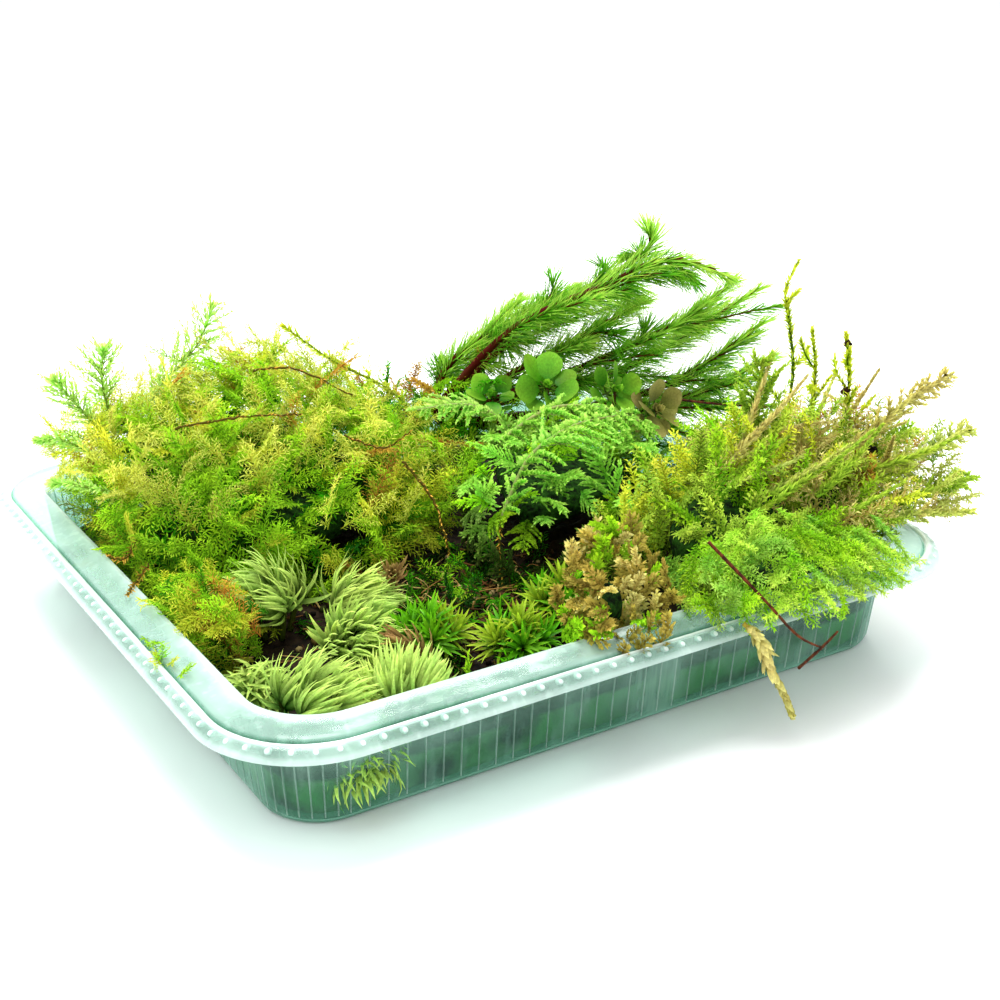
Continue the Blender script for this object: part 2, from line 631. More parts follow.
def loft(rings, closed_bottom=True):
    """Points and triangles of a skin through rings of equal count."""
    count = len(rings[0])
    points = np.vstack(rings)
    triangles = []
    for level in range(len(rings) - 1):
        for i in range(count):
            a = level * count + i
            b = level * count + (i + 1) % count
            triangles += [(a, b, b + count), (a, b + count, a + count)]
    if closed_bottom:
        middle = len(points)
        points = np.vstack([points, rings[0].mean(0)])
        triangles += [((i + 1) % count, i, middle) for i in range(count)]
    return points, np.array(triangles)


WALL_PROFILE = ((11.75, 1.6), (11.55, 3.4), (11.3, 6.0), (10.9, 10.0), (10.5, 14.0), (10.1, 18.0), (9.8, 20.2))


def pressed_tray(material):
    """The thin pressed tray: sloping wall, smooth collar, groove and flange.

    Each row of the profile has an inset and a height in millimetres, then how milky the
    sheet is there and how deep its colour.
    """
    profile = (
        (13.2, 0.0, 0.15, 0.9), (12.5, 0.2, 0.2, 1.0), (12.1, 0.6, 0.25, 1.0), (11.8, 1.3, 0.16, 0.9),
        (11.65, 2.4, 0.08, 0.85), (11.3, 6.0, 0.06, 0.8), (10.9, 10.0, 0.10, 0.75), (10.5, 14.0, 0.14, 0.7),
        (10.1, 18.0, 0.16, 0.6), (9.85, 20.4, 0.15, 0.4), (9.6, 21.7, 0.15, 0.3), (9.1, 22.3, 0.45, 0.2),
        (8.4, 22.45, 0.24, 0.32), (6.6, 22.0, 0.16, 0.40), (4.6, 21.7, 0.16, 0.40), (3.8, 21.6, 0.20, 0.45),
        (3.3, 20.9, 0.0, 1.0), (2.9, 20.6, 0.0, 1.0), (2.5, 21.2, 0.5, 0.1), (2.1, 21.4, 0.55, 0.0),
        (1.7, 21.2, 0.15, 0.3), (1.2, 20.9, 0.10, 0.35), (0.7, 20.4, 0.15, 0.35), (0.3, 19.9, 0.3, 0.2),
        (0.0, 19.4, 0.45, 0.2),
    )
    rings, tints = [], []
    for inset, height, milky, deep in profile:
        flat = rim_line(inset * MM, 40, 16)
        rings.append(np.column_stack([flat, np.full(len(flat), height * MM)]))
        tints.append(np.tile((milky, deep, 0.0), (len(flat), 1)))
    growth = Growth()
    points, triangles = loft(rings)
    growth.add(points[None], triangles, np.vstack([*tints, (0.1, 0.5, 0.0)])[None])
    tray = growth.build("tray_sheet", material, "clear_plastic", ["tray"])
    sheet = tray.modifiers.new("sheet", "SOLIDIFY")
    sheet.thickness = TRAY_SHEET * 0.8
    sheet.offset = -1.0
    return tray


def tray_ribs_and_beads(material):
    """Fine upright ribs on the wall, and round beads on the flange over them."""
    ribs, beads = Growth(), Growth()
    rows = [rim_line(inset * MM, 32, 8) for inset, _ in WALL_PROFILE]
    heights = np.array([height for _, height in WALL_PROFILE]) * MM
    for i in range(len(rows[0])):
        path = np.column_stack([np.array([row[i] for row in rows]), heights])
        points, triangles = tube(path, np.full(len(path), RIB_RADIUS), 5)
        ribs.add(points[None], triangles, np.array((0.18, 0.4, 0.0)))
    ribs.build("tray_ribs", material, "clear_plastic", ["tray"])

    bm = bmesh.new()
    bmesh.ops.create_icosphere(bm, subdivisions=2, radius=1.0)
    ball = np.array([vert.co[:] for vert in bm.verts])
    triangles = np.array([[vert.index for vert in face.verts] for face in bm.faces])
    bm.free()
    strip = rim_line(1.35 * MM, 32, 8)
    outward = unit(np.stack([np.gradient(strip[:, 1]), -np.gradient(strip[:, 0])], axis=1))
    centres = np.column_stack([strip, np.full(len(strip), 21.0 * MM)])
    across = np.column_stack([outward, np.zeros(len(strip))])
    along = np.cross(across, UP)
    axes = np.stack([across * BEAD_SIZE[0], along * BEAD_SIZE[1], np.broadcast_to(UP * BEAD_SIZE[2], along.shape)], 1)
    placed = centres[:, None] + np.einsum("pk,nkj->npj", ball, axes)
    beads.add(placed, triangles, np.array((0.55, 0.05, 0.0)))
    beads.build("tray_beads", material, "clear_plastic", ["tray"])


def waves(points, scale, seed, octaves=3):
    """Smooth made-up relief at the points, from sums of turned sine waves."""
    rng = np.random.default_rng(SEED + seed)
    total = np.zeros(len(points))
    for octave in range(octaves):
        for _ in range(5):
            wave = unit(rng.normal(0, 1, 3)) * 2 * math.pi / scale * 1.9 ** octave
            total += np.sin(points @ wave + rng.uniform(0, 6.3)) * 0.5 ** octave
    return total / 4.0


def soil_bed(material):
    """The damp soil: a crumbly block that fills the foot of the tray."""
    rings = []
    wall = ((13.9, 0.95), (13.1, 1.4), (12.7, 2.6), (12.5, 4.2), (12.2, 6.0), (12.0, 8.0), (12.1, 9.4))
    for inset, height in wall:
        flat = rim_line(inset * MM, 44, 6)
        rings.append(np.column_stack([flat, np.full(len(flat), height * MM)]))
    edge = rings[-1]
    middle = np.array((*MOUND_PLACE, SOIL_TOP))
    for share in np.linspace(0.97, 0.03, 34):
        ring = middle + (edge - middle) * share
        ring[:, 2] = soil_height(ring[:, :2])
        rings.append(ring)
    points, triangles = loft(rings)
    top = points[:, 2] > 9.0 * MM
    points[:, 2] += np.where(top, 0.0009 * waves(points, 0.006, 1), 0.0)
    middle_out = unit(points * (1, 1, 0))
    points -= middle_out * (0.0003 * (1 + waves(points, 0.004, 2)))[:, None] * ~top[:, None]
    last = len(rings[0])
    cap = len(points)
    points = np.vstack([points, middle + (0, 0, MOUND_HEIGHT)])
    ring_start = (len(rings) - 1) * last
    fan = [(ring_start + i, ring_start + (i + 1) % last, cap) for i in range(last)]
    growth = Growth()
    growth.add(points[None], np.vstack([triangles, fan]), np.ones(3))
    return growth.build("soil_bed", material, "soil", ["soil"])


def crumb_shape(rng):
    """A small faceted lump of about one unit."""
    bm = bmesh.new()
    bmesh.ops.create_icosphere(bm, subdivisions=1, radius=1.0)
    points = np.array([vert.co[:] for vert in bm.verts])
    triangles = np.array([[vert.index for vert in face.verts] for face in bm.faces])
    bm.free()
    return points * rng.uniform(0.6, 1.1, (len(points), 1)), triangles


def scatter_crumbs(growth, places, sizes, palette, rng):
    """Lumps of soil, grit and dry bits at the places."""
    turns = rng.normal(0, 1, (len(places), 3, 3))
    first = unit(turns[:, 0])
    second = square_to(turns[:, 1], first)
    third = np.cross(first, second)
    squash = rng.uniform(0.45, 1.0, (len(places), 3))
    axes = np.stack([first, second, third], axis=1) * squash[:, :, None] * sizes[:, None, None]
    tints = np.array([linear(code) for code in palette])[rng.integers(0, len(palette), len(places))]
    tints = tints * rng.uniform(0.7, 1.3, (len(places), 1))
    kinds = [crumb_shape(rng) for _ in range(5)]
    for number, (points, triangles) in enumerate(kinds):
        mine = np.arange(number, len(places), len(kinds))
        lumps = places[mine, None] + np.einsum("pk,nkj->npj", points, axes[mine])
        growth.add(lumps, triangles, tints[mine, None])


def tube(path, radii, sides=6):
    """A round stem along a path, with pointed ends, as points and triangles."""
    tangent = tangents_of(path)
    first = np.empty_like(path)
    guide = np.array((0.21, 0.35, 0.91))
    for i, along in enumerate(tangent):
        guide = square_to(guide, along)
        first[i] = guide
    second = np.cross(tangent, first)
    angles = np.arange(sides) * 2 * math.pi / sides
    rings = [path[i] + radii[i] * (np.outer(np.cos(angles), first[i]) + np.outer(np.sin(angles), second[i]))
             for i in range(len(path))]
    points, triangles = loft(rings)
    tip = len(points)
    points = np.vstack([points, path[-1] + tangent[-1] * radii[-1]])
    start = (len(path) - 1) * sides
    fan = [(start + i, start + (i + 1) % sides, tip) for i in range(sides)]
    return points, np.vstack([triangles, fan])


def add_stem(growth, path, thick, thin, tint, sides=5, rough=0.0, rng=None):
    radii = np.linspace(thick, thin, len(path))
    if rough:
        radii = radii * (1 + rough * rng.normal(0, 1, len(path)))
    points, triangles = tube(path, radii, sides)
    if rough:
        points = points + thick * rough * rng.normal(0, 0.4, points.shape)
    growth.add(points[None], triangles, tint)


# Single shoots along the routes of their CAD solids

def leaves_on_path(growth, path, shape, count, spec, palette, rng, first=0.0, last=1.0):
    """Leaves all round a curved stem, or in two rows where the spec has a flat side."""
    tangent = tangents_of(path)
    share = np.sort(rng.uniform(first, last, count)) if spec.get("loose") else np.linspace(first, last, count)
    position = share * (len(path) - 1)
    index = np.minimum(position.astype(int), len(path) - 2)
    part = (position - index)[:, None]
    base = path[index] * (1 - part) + path[index + 1] * part
    along = unit(tangent[index] * (1 - part) + tangent[index + 1] * part)
    guide = square_to(np.broadcast_to(np.array(spec.get("flat", (0.2, 0.3, 0.9)), float), along.shape), along)
    other = np.cross(along, guide)
    turn = np.arange(count) * (math.pi if "flat" in spec else GOLDEN_TURN)
    turn = turn + rng.normal(0, spec.get("jitter", 0.25), count)
    radial = guide * np.cos(turn)[:, None] + other * np.sin(turn)[:, None]
    done = (share - first) / max(last - first, 1e-6)
    angle = spec["angle"] * (1.1 - 0.55 * done) * rng.uniform(0.8, 1.2, count)
    direction = along * np.cos(angle)[:, None] + radial * np.sin(angle)[:, None]
    face = along * np.sin(angle)[:, None] - radial * np.cos(angle)[:, None]
    taper = np.minimum(1.0, 0.55 + 2.2 * done) * (1.0 - 0.6 * done ** 3)
    length = spec["leaf"] * taper * rng.uniform(0.75, 1.15, count)
    length = length * (1 - spec.get("hang", 0.0) * np.maximum(radial[:, 2], 0.0))
    low, high = mixed_tints([palette], [1.0], count, rng)
    add_leaves(growth, shape, base, direction, face, length, np.full(count, spec["width"]),
               rng.normal(spec["bend"], 0.25, count), np.full(count, spec.get("fold", 0.4)), low, high)


HAIRCAP_PATHS = {
    1: [(26.0, 48.8, 25.8), (41, 41, 43), (57, 32, 55), (70, 25, 65), (70, 24, 70)],
    2: [(27.3, 51.9, 24.0), (40, 47, 42), (48, 43, 49), (60, 40, 54)],
    3: [(26.0, 50.0, 24.0), (42, 35, 38), (54, 27, 46), (66, 21, 54)],
    4: [(24.7, 48.1, 24.0), (46, 29, 36), (61, 19, 44), (71, 11, 51), (80, 5, 60)],
    5: [(27.8, 50.8, 22.7), (50, 36, 31), (66, 25, 37), (80, 16, 47), (92, 9, 56)],
    6: [(27.2, 49.2, 22.2), (54, 32, 26), (70, 21, 31), (82, 13, 39), (92, 7, 48)],
    7: [(26.0, 48.1, 22.7), (56, 28, 22.5), (70, 17, 28), (81, 9, 34), (91, 2, 41)],
    8: [(24.2, 49.2, 25.3), (38, 36, 47), (54, 21, 59), (66, 11, 66), (78, 3, 62)],
    9: [(26.1, 51.9, 25.3), (30, 51, 36), (38, 48, 43), (46, 45, 51)],
}


def haircap_shoots(material):
    """Long shoots with a rough red-brown stem and narrow leaves that catch the light."""
    spec = {"leaf": 14.5 * MM, "width": 0.135 * MM, "angle": 0.80, "bend": -0.2, "fold": 0.3, "jitter": 1.2,
            "loose": True, "hang": 0.62}
    bark, green_stem = linear("5A220C"), linear("6A3A14")
    brown = 54
    for number, route in HAIRCAP_PATHS.items():
        rng = np.random.default_rng(SEED + 100 + number)
        growth = Growth()
        path = smooth_path(route, 60)
        add_stem(growth, path[:brown + 1], 1.15 * MM, 0.52 * MM, bark, 7, 0.14, rng)
        add_stem(growth, path[brown:], 0.44 * MM, 0.16 * MM, green_stem, 6, 0.10, rng)
        leaves_on_path(growth, path, HAIR, 70, {**spec, "leaf": 4.0 * MM, "angle": 0.5}, RUSTY, rng, 0.02, 0.30)
        leaves_on_path(growth, path, HAIR, 430, spec, HAIRCAP_LEAF, rng, 0.22, 1.0)
        for order, start in enumerate((9, 14, 19, 24, 29, 34, 39)):
            end = min(start + rng.integers(16, 24), 57)
            swing = rng.normal(0, 1, 3) * 6.0 * MM
            swing[2] = -abs(swing[2])
            share = np.linspace(0, 1, 18)[:, None]
            side = path[np.linspace(start, end, 18).astype(int)] + swing * share ** 1.3
            side = smooth_path(side[::4] / MM, 18)
            add_stem(growth, side, 0.42 * MM, 0.16 * MM, green_stem, 5)
            leaves_on_path(growth, side, HAIR, 150, {**spec, "leaf": 12.0 * MM},
                           HAIRCAP_LEAF if order % 2 else HAIRCAP_DEEP, rng, 0.05, 1.0)
        growth.build(f"haircap_shoot_{number}_leafy", material, "haircap_moss", [f"haircap_shoot_{number}"])


SPRIG_PATHS = {
    1: [(-50, 45, 40), (-44, 46, 46), (-36, 46, 53), (-32, 46, 61)],
    2: [(-57, 46, 41), (-58, 46, 48), (-57, 46, 55)],
    3: [(-60, 44, 38), (-64, 45, 44), (-68, 46, 50)],
    4: [(-64, 34, 36), (-70, 35, 40), (-75, 36, 41)],
    5: [(-66, 20, 33), (-72, 20, 35.5), (-77, 21, 37)],
    6: [(14, 36, 28), (6, 36, 38), (-8, 36, 47), (-20, 36, 57)],
}
RIGHT_PATHS = {
    1: [(56, -34, 36), (55, -34, 45), (55, -35, 55)],
    2: [(70, -26, 30), (75, -23, 45), (75, -21, 56), (74, -20, 64), (78, -19, 70)],
    3: [(70, -33, 33), (74, -31, 46), (73, -30, 58)],
    4: [(71, -42, 34), (73, -42, 49), (71, -42, 60)],
    5: [(66, -51, 38), (75, -56, 48), (83, -60, 54)],
    6: [(68, -56, 34), (81, -60, 39), (88, -62, 42)],
    7: [(68, -59, 28), (81, -63, 31), (88, -64, 32)],
    8: [(66, -61, 27), (76, -66, 27.5), (84, -68, 26.5)],
    9: [(70, -46, 32), (81, -47, 36), (87, -48, 38)],
}
STAIR_PATHS = {
    1: [(1, -20, 27), (8, -19, 38), (20, -17, 42), (34, -14, 41)],
    2: [(14, 2, 34), (26, 0, 40), (38, -4, 39), (48, -8, 34)],
    3: [(26, 17, 31), (20, 18, 36), (13, 19, 38), (4, 20, 38)],
}
DEAD_PATHS = {
    1: [(-22, -12, 10.6), (-23, -17, 18), (-26, -22, 21)],
    2: [(-30, -50, 10.6), (-33, -45, 17), (-37, -44, 20)],
    3: [(15, -78, 23.4), (16.5, -80.6, 21), (19, -81.5, 15), (22.5, -82, 8.5), (25, -82, 3.4)],
}


def branched_shoot(growth, path, pairs, reach, leaf, flat, palette, rng, stem_tint, sag=-0.3, angle=1.0,
                   thick=0.45, slim=0.3, spacing=0.33, first=0.15, leaf_angle=0.6):
    """A stem with leafy branches in two rows and small leaves of its own."""
    tangent = tangents_of(path)
    add_stem(growth, path, thick * MM, thick * 0.4 * MM, stem_tint, 5, 0.08, rng)
    spec = {"spacing": spacing * MM, "angle": leaf_angle, "turn": GOLDEN_TURN, "jitter": 0.4, "flatness": 0.2}
    runs = []
    for number in range(pairs * 2):
        place = first + (1 - first) * (number + rng.uniform(-0.3, 0.3)) / (pairs * 2)
        index = int(np.clip(place * (len(path) - 1), 0, len(path) - 2))
        along = tangent[index]
        side = square_to(np.array(flat, float), along) * (1 if number % 2 else -1)
        length = reach * math.sin(math.pi * min(0.97, 0.16 + 0.80 * place)) ** 0.7 * rng.uniform(0.8, 1.15)
        out = unit(along * math.cos(angle) + side * math.sin(angle) + rng.normal(0, 0.12, 3))
        droop = np.array((0.0, 0.0, sag)) + 0.12 * rng.normal(0, 1, 3) + along * 0.15
        runs.append((path[index], out, droop, length))
    steps = len(path) // 4
    for start in range(0, len(path) - steps, steps):
        piece = path[start + steps] - path[start]
        runs.append((path[start], unit(piece), np.zeros(3), np.linalg.norm(piece)))
    for start, out, droop, length in runs:
        side = unit(np.cross(out, UP + 0.01))
        up = np.cross(side, out)
        base, along, face, s = run_leaves(start, out, droop, length, side, up, spec, rng)
        count = len(base)
        low, high = mixed_tints([palette], [1.0], count, rng)
        low = low * (0.8 + 0.4 * s[:, None])
        size = leaf * (1 - 0.4 * s) * rng.uniform(0.8, 1.2, count)
        add_leaves(growth, TINY_LEAF, base, along, face, size, size * slim,
                   rng.normal(0.1, 0.3, count), np.full(count, 0.5), low, high)
        cone, sides = stem_cone(start, start + (out + droop) * length, 0.16 * MM)
        growth.add(cone[None], sides, stem_tint)


def single_shoots(materials):
    """Sprigs of the dome, shoots of the right mat, stair-step fronds and dead shoots."""
    view_side = (0.845, -0.534, 0.0)
    for number, route in SPRIG_PATHS.items():
        rng = np.random.default_rng(SEED + 200 + number)
        growth = Growth()
        path = smooth_path(route, 44)
        pairs, reach = {1: (12, 8.0 * MM), 4: (8, 3.6 * MM), 5: (8, 3.0 * MM), 6: (7, 2.6 * MM)}.get(
            number, (10, 6.0 * MM))
        palette = SPRIG_BRIGHT if number != 6 else GOLD_GREEN
        branched_shoot(growth, path, pairs, reach, 2.1 * MM, view_side, palette, rng, linear("8CA844"),
                       sag=0.05, angle=0.75, thick=0.34, slim=0.15, spacing=0.28, first=0.2, leaf_angle=0.8)
        spec = {"leaf": 2.2 * MM, "width": 0.16 * MM, "angle": 0.7, "bend": -0.2, "jitter": 0.5}
        leaves_on_path(growth, path, NEEDLE, 60, spec, palette, rng, 0.1, 1.0)
        leaves_on_path(growth, path, NEEDLE, 70, {**spec, "leaf": 3.6 * MM}, palette, rng, 0.78, 1.0)
        growth.build(f"dome_sprig_{number}_leafy", materials["fine"], "feather_moss", [f"dome_sprig_{number}"])
    for number, route in RIGHT_PATHS.items():
        rng = np.random.default_rng(SEED + 220 + number)
        growth = Growth()
        path = smooth_path(route, 48)
        thin = number in (2, 3, 4)
        palette = GOLD_GREEN if thin else {5: MAT_STRAW, 6: SHOOT_GOLD, 8: SHOOT_GOLD}.get(number, MAT_GREEN)
        if thin:
            add_stem(growth, path, 0.42 * MM, 0.16 * MM, STEM_GREEN, 5, 0.1, rng)
            spec = {"leaf": 2.8 * MM, "width": 0.24 * MM, "angle": 0.85, "bend": -0.3, "jitter": 0.7}
            leaves_on_path(growth, path, NEEDLE, 240, spec, palette, rng, 0.0, 1.0)
            for start in (6, 14, 21, 29):
                tip = path[start] + rng.normal(0, 1, 3) * (4.0, 2.5, 1.0) * MM + UP * rng.uniform(4, 9) * MM
                twig = np.linspace(path[start], tip, 14)
                twig[:, 0] += np.sin(np.linspace(0, math.pi, 14)) * rng.normal(0, 1.2) * MM
                add_stem(growth, twig, 0.22 * MM, 0.10 * MM, STEM_GREEN, 4)
                leaves_on_path(growth, twig, NEEDLE, 60, {**spec, "leaf": 2.3 * MM}, palette, rng, 0.0, 1.0)
        else:
            reach = (7.0 if number == 1 else 3.4) * MM
            branched_shoot(growth, path, 10, reach, 2.2 * MM, view_side, palette, rng, STEM_GREEN, sag=0.1,
                           angle=0.8, thick=0.38, slim=0.2, spacing=0.2, first=0.1, leaf_angle=0.8)
            spec = {"leaf": 2.7 * MM, "width": 0.32 * MM, "angle": 0.66, "bend": 0.2, "jitter": 0.6}
            leaves_on_path(growth, path, NEEDLE, 360, spec, palette, rng, 0.0, 1.0)
        growth.build(f"right_shoot_{number}_leafy", materials["coarse"], "mat_moss", [f"right_shoot_{number}"])
    for number, route in STAIR_PATHS.items():
        rng = np.random.default_rng(SEED + 240 + number)
        growth = Growth()
        palette = FROND_PALE if number == 3 else FROND_GREEN
        reach, sag, slim = (7.5 * MM, -0.15, 0.26) if number == 3 else (9.5 * MM, -0.45, 0.34)
        branched_shoot(growth, smooth_path(route, 48), 15, reach, 1.8 * MM, (0.3, 0.9, 0.0), palette, rng,
                       linear("9AA860"), sag=sag, angle=1.0, thick=0.5, slim=slim, spacing=0.20, first=0.05)
        growth.build(f"stair_frond_{number}_leafy", materials["frond"], "frond_moss", [f"stair_frond_{number}"])
    for number, route in DEAD_PATHS.items():
        rng = np.random.default_rng(SEED + 260 + number)
        growth = Growth()
        palette = MAT_STRAW if number == 3 else DEAD_LEAF
        path = smooth_path(route, 40)
        add_stem(growth, path, 0.5 * MM, 0.3 * MM, palette[0], 5, 0.15, rng)
        if number == 3:
            spec = {"leaf": 4.4 * MM, "width": 0.7 * MM, "angle": 0.85, "bend": 0.9, "fold": 0.8, "jitter": 0.7}
            leaves_on_path(growth, path, LANCE, 90, spec, palette, rng, 0.05, 0.95)
        else:
            spec = {"leaf": 6.5 * MM, "width": 0.40 * MM, "angle": 1.1, "bend": 1.1, "fold": 0.9, "jitter": 0.8}
            leaves_on_path(growth, path, LANCE, 46, spec, palette, rng, 0.15, 1.0)
        growth.build(f"dead_shoot_{number}_leafy", materials["dry"], "dead_shoot", [f"dead_shoot_{number}"])


# Tufts and rosettes

PALE_TUFTS = {
    1: ((-47, -13, 10.3), 9.0, 17.0, 1.0, (-0.3, 0.1)),
    2: ((-34, -19, 10.3), 7.0, 14.5, 1.0, (0.7, -0.4)),
    3: ((-40, -33, 10.3), 8.0, 13.0, 1.0, (0.1, -0.5)),
    4: ((-57, -49, 10.3), 9.5, 14.0, 1.0, (0.6, -0.1)),
    5: ((-61, -36, 10.3), 4.5, 10.5, 1.2, (0.4, 0.1)),
    6: ((-41, -55, 10.3), 6.5, 12.5, 1.0, (0.2, 0.2)),
    7: ((-53, -61.8, 3.5), 7.5, 13.0, 0.27, (-0.25, -0.1)),
}
STAR_TUFTS = {
    1: ((-27, -39, 10.3), 7.5, 12.0),
    2: ((-15, -51, 10.3), 7.5, 13.0),
    3: ((-1, -44, 10.3), 7.0, 15.0),
}


def tuft_leaves(growth, crown, axis, count, length, width, sweep, palette, rng, shape=RIBBON, spread=1.35,
                bend=-0.7, curl_to=None):
    """Leaves that fan out of one crown, the outer ones lower, all drawn along sweep.

    With curl_to, every leaf curves towards that direction, and else up or down by bend.
    """
    order = (np.arange(count) + 0.5) / count
    turn = np.arange(count) * GOLDEN_TURN
    first = square_to(np.array((0.8, 0.3, 0.1)), axis)
    second = np.cross(axis, first)
    radial = np.outer(np.cos(turn), first) + np.outer(np.sin(turn), second)
    tilt = spread * order ** 0.6 * rng.uniform(0.85, 1.15, count)
    along = axis * np.cos(tilt)[:, None] + radial * np.sin(tilt)[:, None]
    along = unit(along + np.array((*sweep, 0.0)) * (0.35 + 0.4 * order[:, None]))
    face = square_to(axis - 0.3 * radial if curl_to is None else 0.35 * axis + curl_to, along)
    base = crown - axis * (order * 2.2 * MM)[:, None]
    sizes = length * rng.uniform(0.8, 1.15, count)
    low, high = mixed_tints([palette], [1.0], count, rng)
    add_leaves(growth, shape, base, along, face, sizes, np.full(count, width) * rng.uniform(0.8, 1.2, count),
               rng.normal(bend, 0.35, count), np.full(count, 0.7), low, high, 0.12)


def pale_tufts(material):
    """Cushion tufts of long curved leaves, green at the foot and whitish at the tip."""
    for number, (centre, radius, height, squash, sweep) in PALE_TUFTS.items():
        rng = np.random.default_rng(SEED + 300 + number)
        growth = Growth()
        foot = np.array(centre) * MM
        crowns = [(0.0, 0.0)] + [(math.cos(a), math.sin(a)) for a in np.arange(5) * 1.257 + number]
        for x, y in crowns:
            reach = 0.52 * radius * MM
            offset = np.array((x * reach, y * reach * squash, 0.0))
            rise = (height - 6.5) * MM * (1.0 if not (x or y) else 0.72)
            axis = unit(np.array((x * 0.7, y * 0.7 * squash, 1.1)))
            crown = foot + offset + (0, 0, rise)
            length = 9.4 * MM if squash == 1.0 else 6.5 * MM
            if squash < 1.0:
                axis = unit(axis * (1.0, 0.15, 1.0))
            curl_to = unit(np.array((*sweep, 0.0))) if squash == 1.0 else None
            tuft_leaves(growth, crown, axis, 44, length, 0.50 * MM, 1.5 * np.array(sweep) * (1.0, squash),
                        PALE_LEAF, rng, spread=1.2, bend=1.3 if squash == 1.0 else -1.5, curl_to=curl_to)
            add_stem(growth, np.linspace(foot + offset * 0.6, crown, 6), 0.7 * MM, 0.5 * MM, linear("4E5A1C"))
        growth.build(f"pale_tuft_{number}_leafy", material, "pale_moss", [f"pale_tuft_{number}"])


def star_tufts(material):
    """Greener tufts of several stars of short lance leaves."""
    for number, (centre, radius, height) in STAR_TUFTS.items():
        rng = np.random.default_rng(SEED + 330 + number)
        growth = Growth()
        foot = np.array(centre) * MM
        stars = [(0.0, 0.0, 1.0)] + [(math.cos(a), math.sin(a), 0.75) for a in np.arange(5) * 1.257 + 0.5]
        for x, y, level in stars:
            crown = foot + np.array((x * 0.55 * radius, y * 0.55 * radius, (height - 4.0) * level)) * MM
            axis = unit(np.array((x * 0.8, y * 0.8, 1.0)))
            palette = STAR_LEAF if rng.random() < 0.65 else STAR_YELLOW
            tuft_leaves(growth, crown, axis, 34, 6.2 * MM, 0.42 * MM, (0.1, 0.1), palette, rng, LANCE, 1.25, -0.45)
            add_stem(growth, np.linspace(foot + (0, 0, 0), crown, 6), 0.6 * MM, 0.4 * MM, STEM_BROWN)
        growth.build(f"star_tuft_{number}_leafy", material, "star_moss", [f"star_tuft_{number}"])


ROSETTES = {
    "round_leaf_rosette_1": ((38, 19, 38), (37, 17, 27), 8.0, 6, (35, -10)),
    "round_leaf_rosette_2": ((30, 30, 34), (31, 27, 23), 6.5, 5, (25, -15)),
    "round_leaf_rosette_3": ((48, 6, 39), (47, 6, 26), 6.5, 5, (60, 10)),
    "olive_leaf_rosette": ((57, 2, 34), (54, 3, 20), 7.5, 5, (65, 10)),
}


def round_leaf_rosettes(materials):
    """Thin round leaves with a fine rib, spread from a short stem."""
    for order, (name, (centre, root, radius, count, tilt)) in enumerate(ROSETTES.items()):
        rng = np.random.default_rng(SEED + 350 + order)
        growth = Growth()
        olive = name.startswith("olive")
        palette = OLIVE_LEAF if olive else ROUND_LEAF
        tilt_x, tilt_y = (math.radians(angle) for angle in tilt)
        axis = unit(np.array((math.sin(tilt_y), -math.sin(tilt_x), math.cos(tilt_x))))
        first = square_to(np.array((1.0, 0.0, 0.0)), axis)
        second = np.cross(axis, first)
        middle = np.array(centre) * MM
        for level, (share, size, drop) in enumerate(((1.0, 0.74, 0.0), (0.9, 0.60, 2.6))):
            turn = 2 * math.pi * (np.arange(count) + rng.uniform(-0.18, 0.18, count)) / count
            turn = turn + 0.6 * order + 0.6 * level
            radial = np.outer(np.cos(turn), first) + np.outer(np.sin(turn), second)
            along = unit(radial + axis * rng.uniform(0.1, 0.55, (count, 1)))
            face = square_to(axis + 0.35 * rng.normal(0, 1, along.shape), along)
            base = middle - axis * drop * MM + radial * radius * (share - size) * MM
            length = radius * size * MM * rng.uniform(0.95, 1.25, count)
            low, high = mixed_tints([palette], [1.0], count, rng)
            add_leaves(growth, OVAL, base, along, face, length, length * 0.47, rng.normal(0.2, 0.3, count),
                       np.full(count, 0.14), low, high, -0.2)
            for start, end in zip(np.repeat(middle[None] - axis * (drop + 0.6) * MM, count, 0), base):
                add_stem(growth, np.linspace(start, end, 4), 0.28 * MM, 0.20 * MM, STEM_GREEN, 4)
        heart = middle + axis * 0.6 * MM
        tuft_leaves(growth, heart, axis, 7, 2.6 * MM, 0.9 * MM, (0.0, 0.0), palette, rng, OVAL, 0.9, 0.3)
        add_stem(growth, np.linspace(np.array(root) * MM, middle, 8), 0.5 * MM, 0.4 * MM, linear("5E4020"))
        slot = "olive_leaf" if olive else "round_leaf"
        growth.build(name + "_leafy", materials["round"], slot, [name])


TWIGS = {
    "twig_1": ([(11, -72, 38), (17, -80, 29), (22, -84.5, 22), (28, -85, 18)],
               [(22, -85.5, 15.8), (28, -85, 18.2), (32, -84.5, 20)]),
    "twig_2": ([(60, 3, 36), (72, 1, 33), (86, -4, 31)],),
}


def bare_twigs(material):
    for order, (name, routes) in enumerate(TWIGS.items()):
        rng = np.random.default_rng(SEED + 370 + order)
        growth = Growth()
        for route in routes:
            add_stem(growth, smooth_path(route, 30), 0.32 * MM, 0.20 * MM, np.ones(3), 8, 0.07, rng)
        growth.build(name + "_bark", material, "twig_bark", [name])


